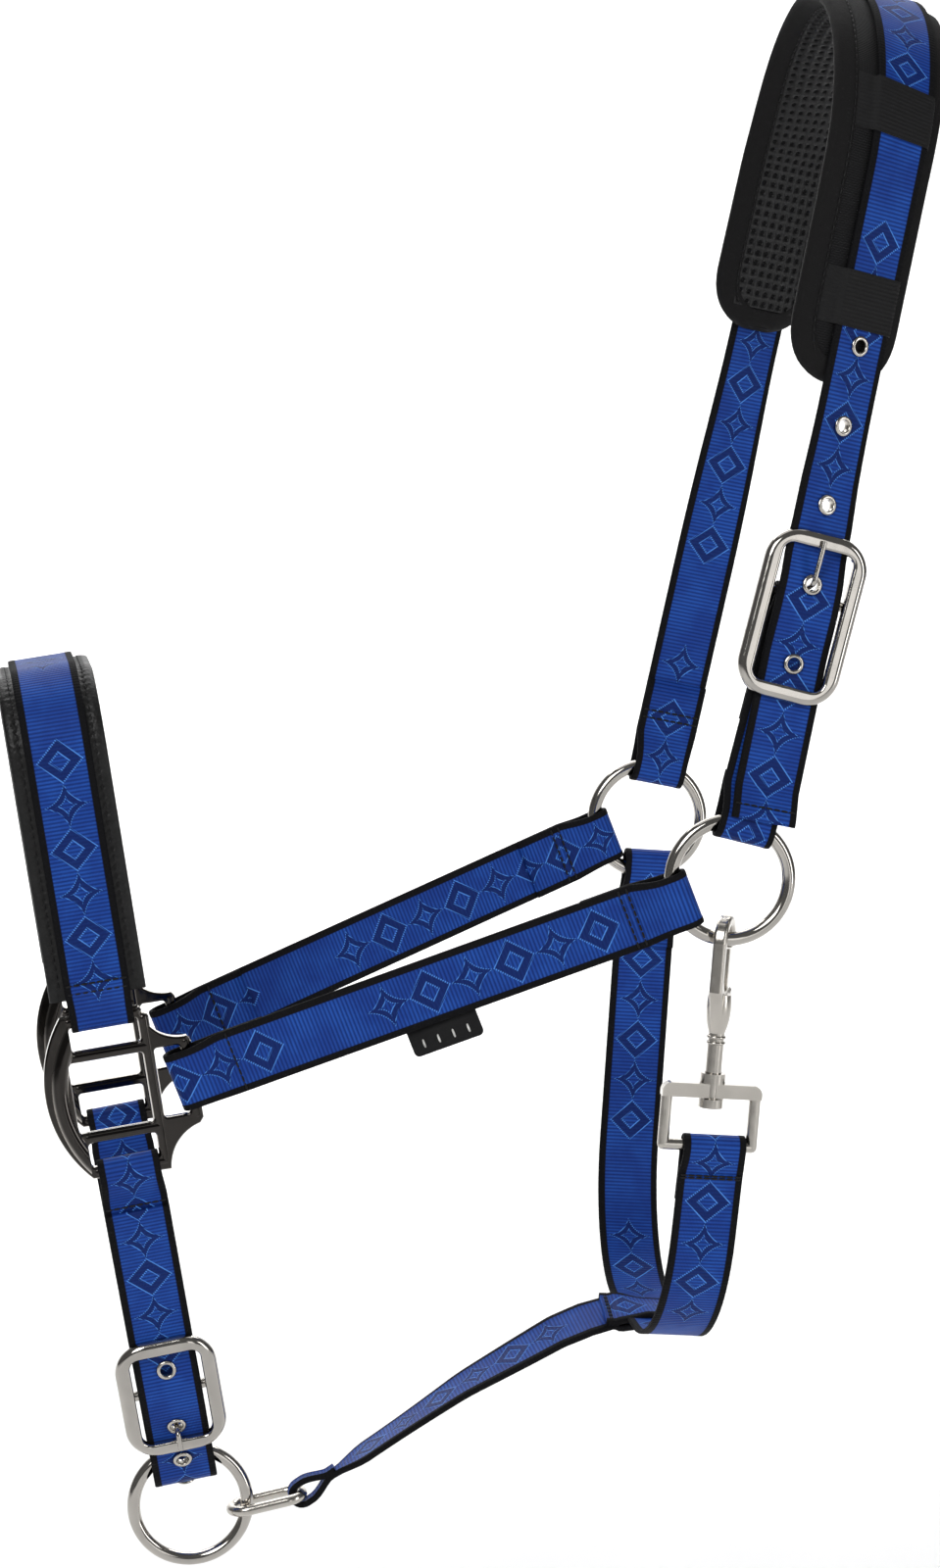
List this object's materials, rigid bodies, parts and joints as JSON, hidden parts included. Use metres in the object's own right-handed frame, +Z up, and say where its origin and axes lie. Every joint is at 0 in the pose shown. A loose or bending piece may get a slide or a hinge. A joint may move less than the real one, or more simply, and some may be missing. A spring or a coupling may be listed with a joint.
{
  "type": "head halter",
  "caption": "Webbing head halter with padded crown and noseband, buckled crown and chin straps, a ring under the chin for a lead, and a throat snap that unclips.",
  "frame": {"origin": "middle of the crown pad's underside, where the halter rests on the poll", "axes": "+X backwards from the muzzle to the neck, -Y the horse's left (near) side, +Z up; the halter stands as worn"},
  "size_m": [0.3643, 0.1855, 0.6225],
  "materials": {
    "webbing_blue": "woven",
    "black_leather": "smooth grained",
    "lining": "perforated",
    "foam": "open cell foam",
    "elastic": "ribbed",
    "label_cloth": "woven",
    "chrome": "polished",
    "nickel": "satin nickel"
  },
  "bodies": {
    "crown": {"crown_strap": "webbing_blue", "crown_eyelets": "chrome", "crown_chape": "webbing_blue", "crown_buckle_frame": "chrome", "crown_pad_cover": "black_leather", "crown_pad_foam": "foam", "crown_pad_lining": "lining", "crown_pad_binding": "black_leather", "crown_keepers": "elastic"},
    "near_ring": {"near_ring": "chrome"},
    "far_ring": {"far_ring": "chrome"},
    "crown_tongue": {"crown_tongue": "chrome"},
    "nose": {"noseband_strap": "webbing_blue", "noseband_sleeve": "black_leather", "noseband_foam": "foam", "near_square": "chrome", "far_square": "chrome", "near_cheek_strap": "webbing_blue", "far_cheek_strap": "webbing_blue", "size_tab": "label_cloth", "chin_chape": "webbing_blue", "chin_billet": "webbing_blue", "chin_eyelets": "chrome", "chin_buckle_frame": "chrome", "throat_strap": "webbing_blue", "jaw_strap": "webbing_blue", "snap_eye": "nickel"},
    "chin_tongue": {"chin_tongue": "chrome"},
    "chin_ring": {"chin_ring": "chrome"},
    "oblong_link": {"oblong_link": "nickel"},
    "snap_hook": {"snap_hook": "nickel", "snap_rivet_head": "nickel", "snap_gate_pin": "nickel"},
    "snap_gate": {"snap_gate": "nickel"}
  },
  "joints": [
    {"name": "nose_lift", "type": "hinge", "parent": "crown", "child": "nose", "pos_m": [-0.07177, -0.00005, -0.32324], "axis": [0, 1, 0], "range_deg": [-75, 45]},
    {"name": "near_ring_turn", "type": "hinge", "parent": "crown", "child": "near_ring", "pos_m": [-0.07177, -0.08505, -0.32324], "axis": [0, 1, 0], "continuous": true},
    {"name": "far_ring_turn", "type": "hinge", "parent": "crown", "child": "far_ring", "pos_m": [-0.07177, 0.08495, -0.32324], "axis": [0, 1, 0], "continuous": true},
    {"name": "crown_tongue_lift", "type": "hinge", "parent": "crown", "child": "crown_tongue", "pos_m": [-0.04356, -0.0813, -0.21747], "axis": [0.9654, 0.033, -0.2587], "range_deg": [0, 5]},
    {"name": "chin_tongue_lift", "type": "hinge", "parent": "nose", "child": "chin_tongue", "pos_m": [-0.27992, -0.01759, -0.53152], "axis": [-0.9859, 0, -0.1675], "range_deg": [0, 5]},
    {"name": "chin_ring_turn", "type": "hinge", "parent": "nose", "child": "chin_ring", "pos_m": [-0.27107, -0.00005, -0.58363], "axis": [0, 1, 0], "continuous": true},
    {"name": "link_swing", "type": "hinge", "parent": "nose", "child": "oblong_link", "pos_m": [-0.22617, -0.00005, -0.58094], "axis": [0, 1, 0], "range_deg": [-4, 16]},
    {"name": "snap_swivel", "type": "hinge", "parent": "nose", "child": "snap_hook", "pos_m": [-0.07177, -0.08505, -0.32324], "axis": [0.0785, 0, 0.9969], "range_deg": [-11, 59]},
    {"name": "snap_gate_press", "type": "hinge", "parent": "snap_hook", "child": "snap_gate", "pos_m": [-0.07222, -0.07811, -0.36834], "axis": [0.9107, -0.4067, -0.0717], "range_deg": [0, 20], "stiffness_Nm_per_rad": 0.02, "springref_deg": -20.05}
  ]
}
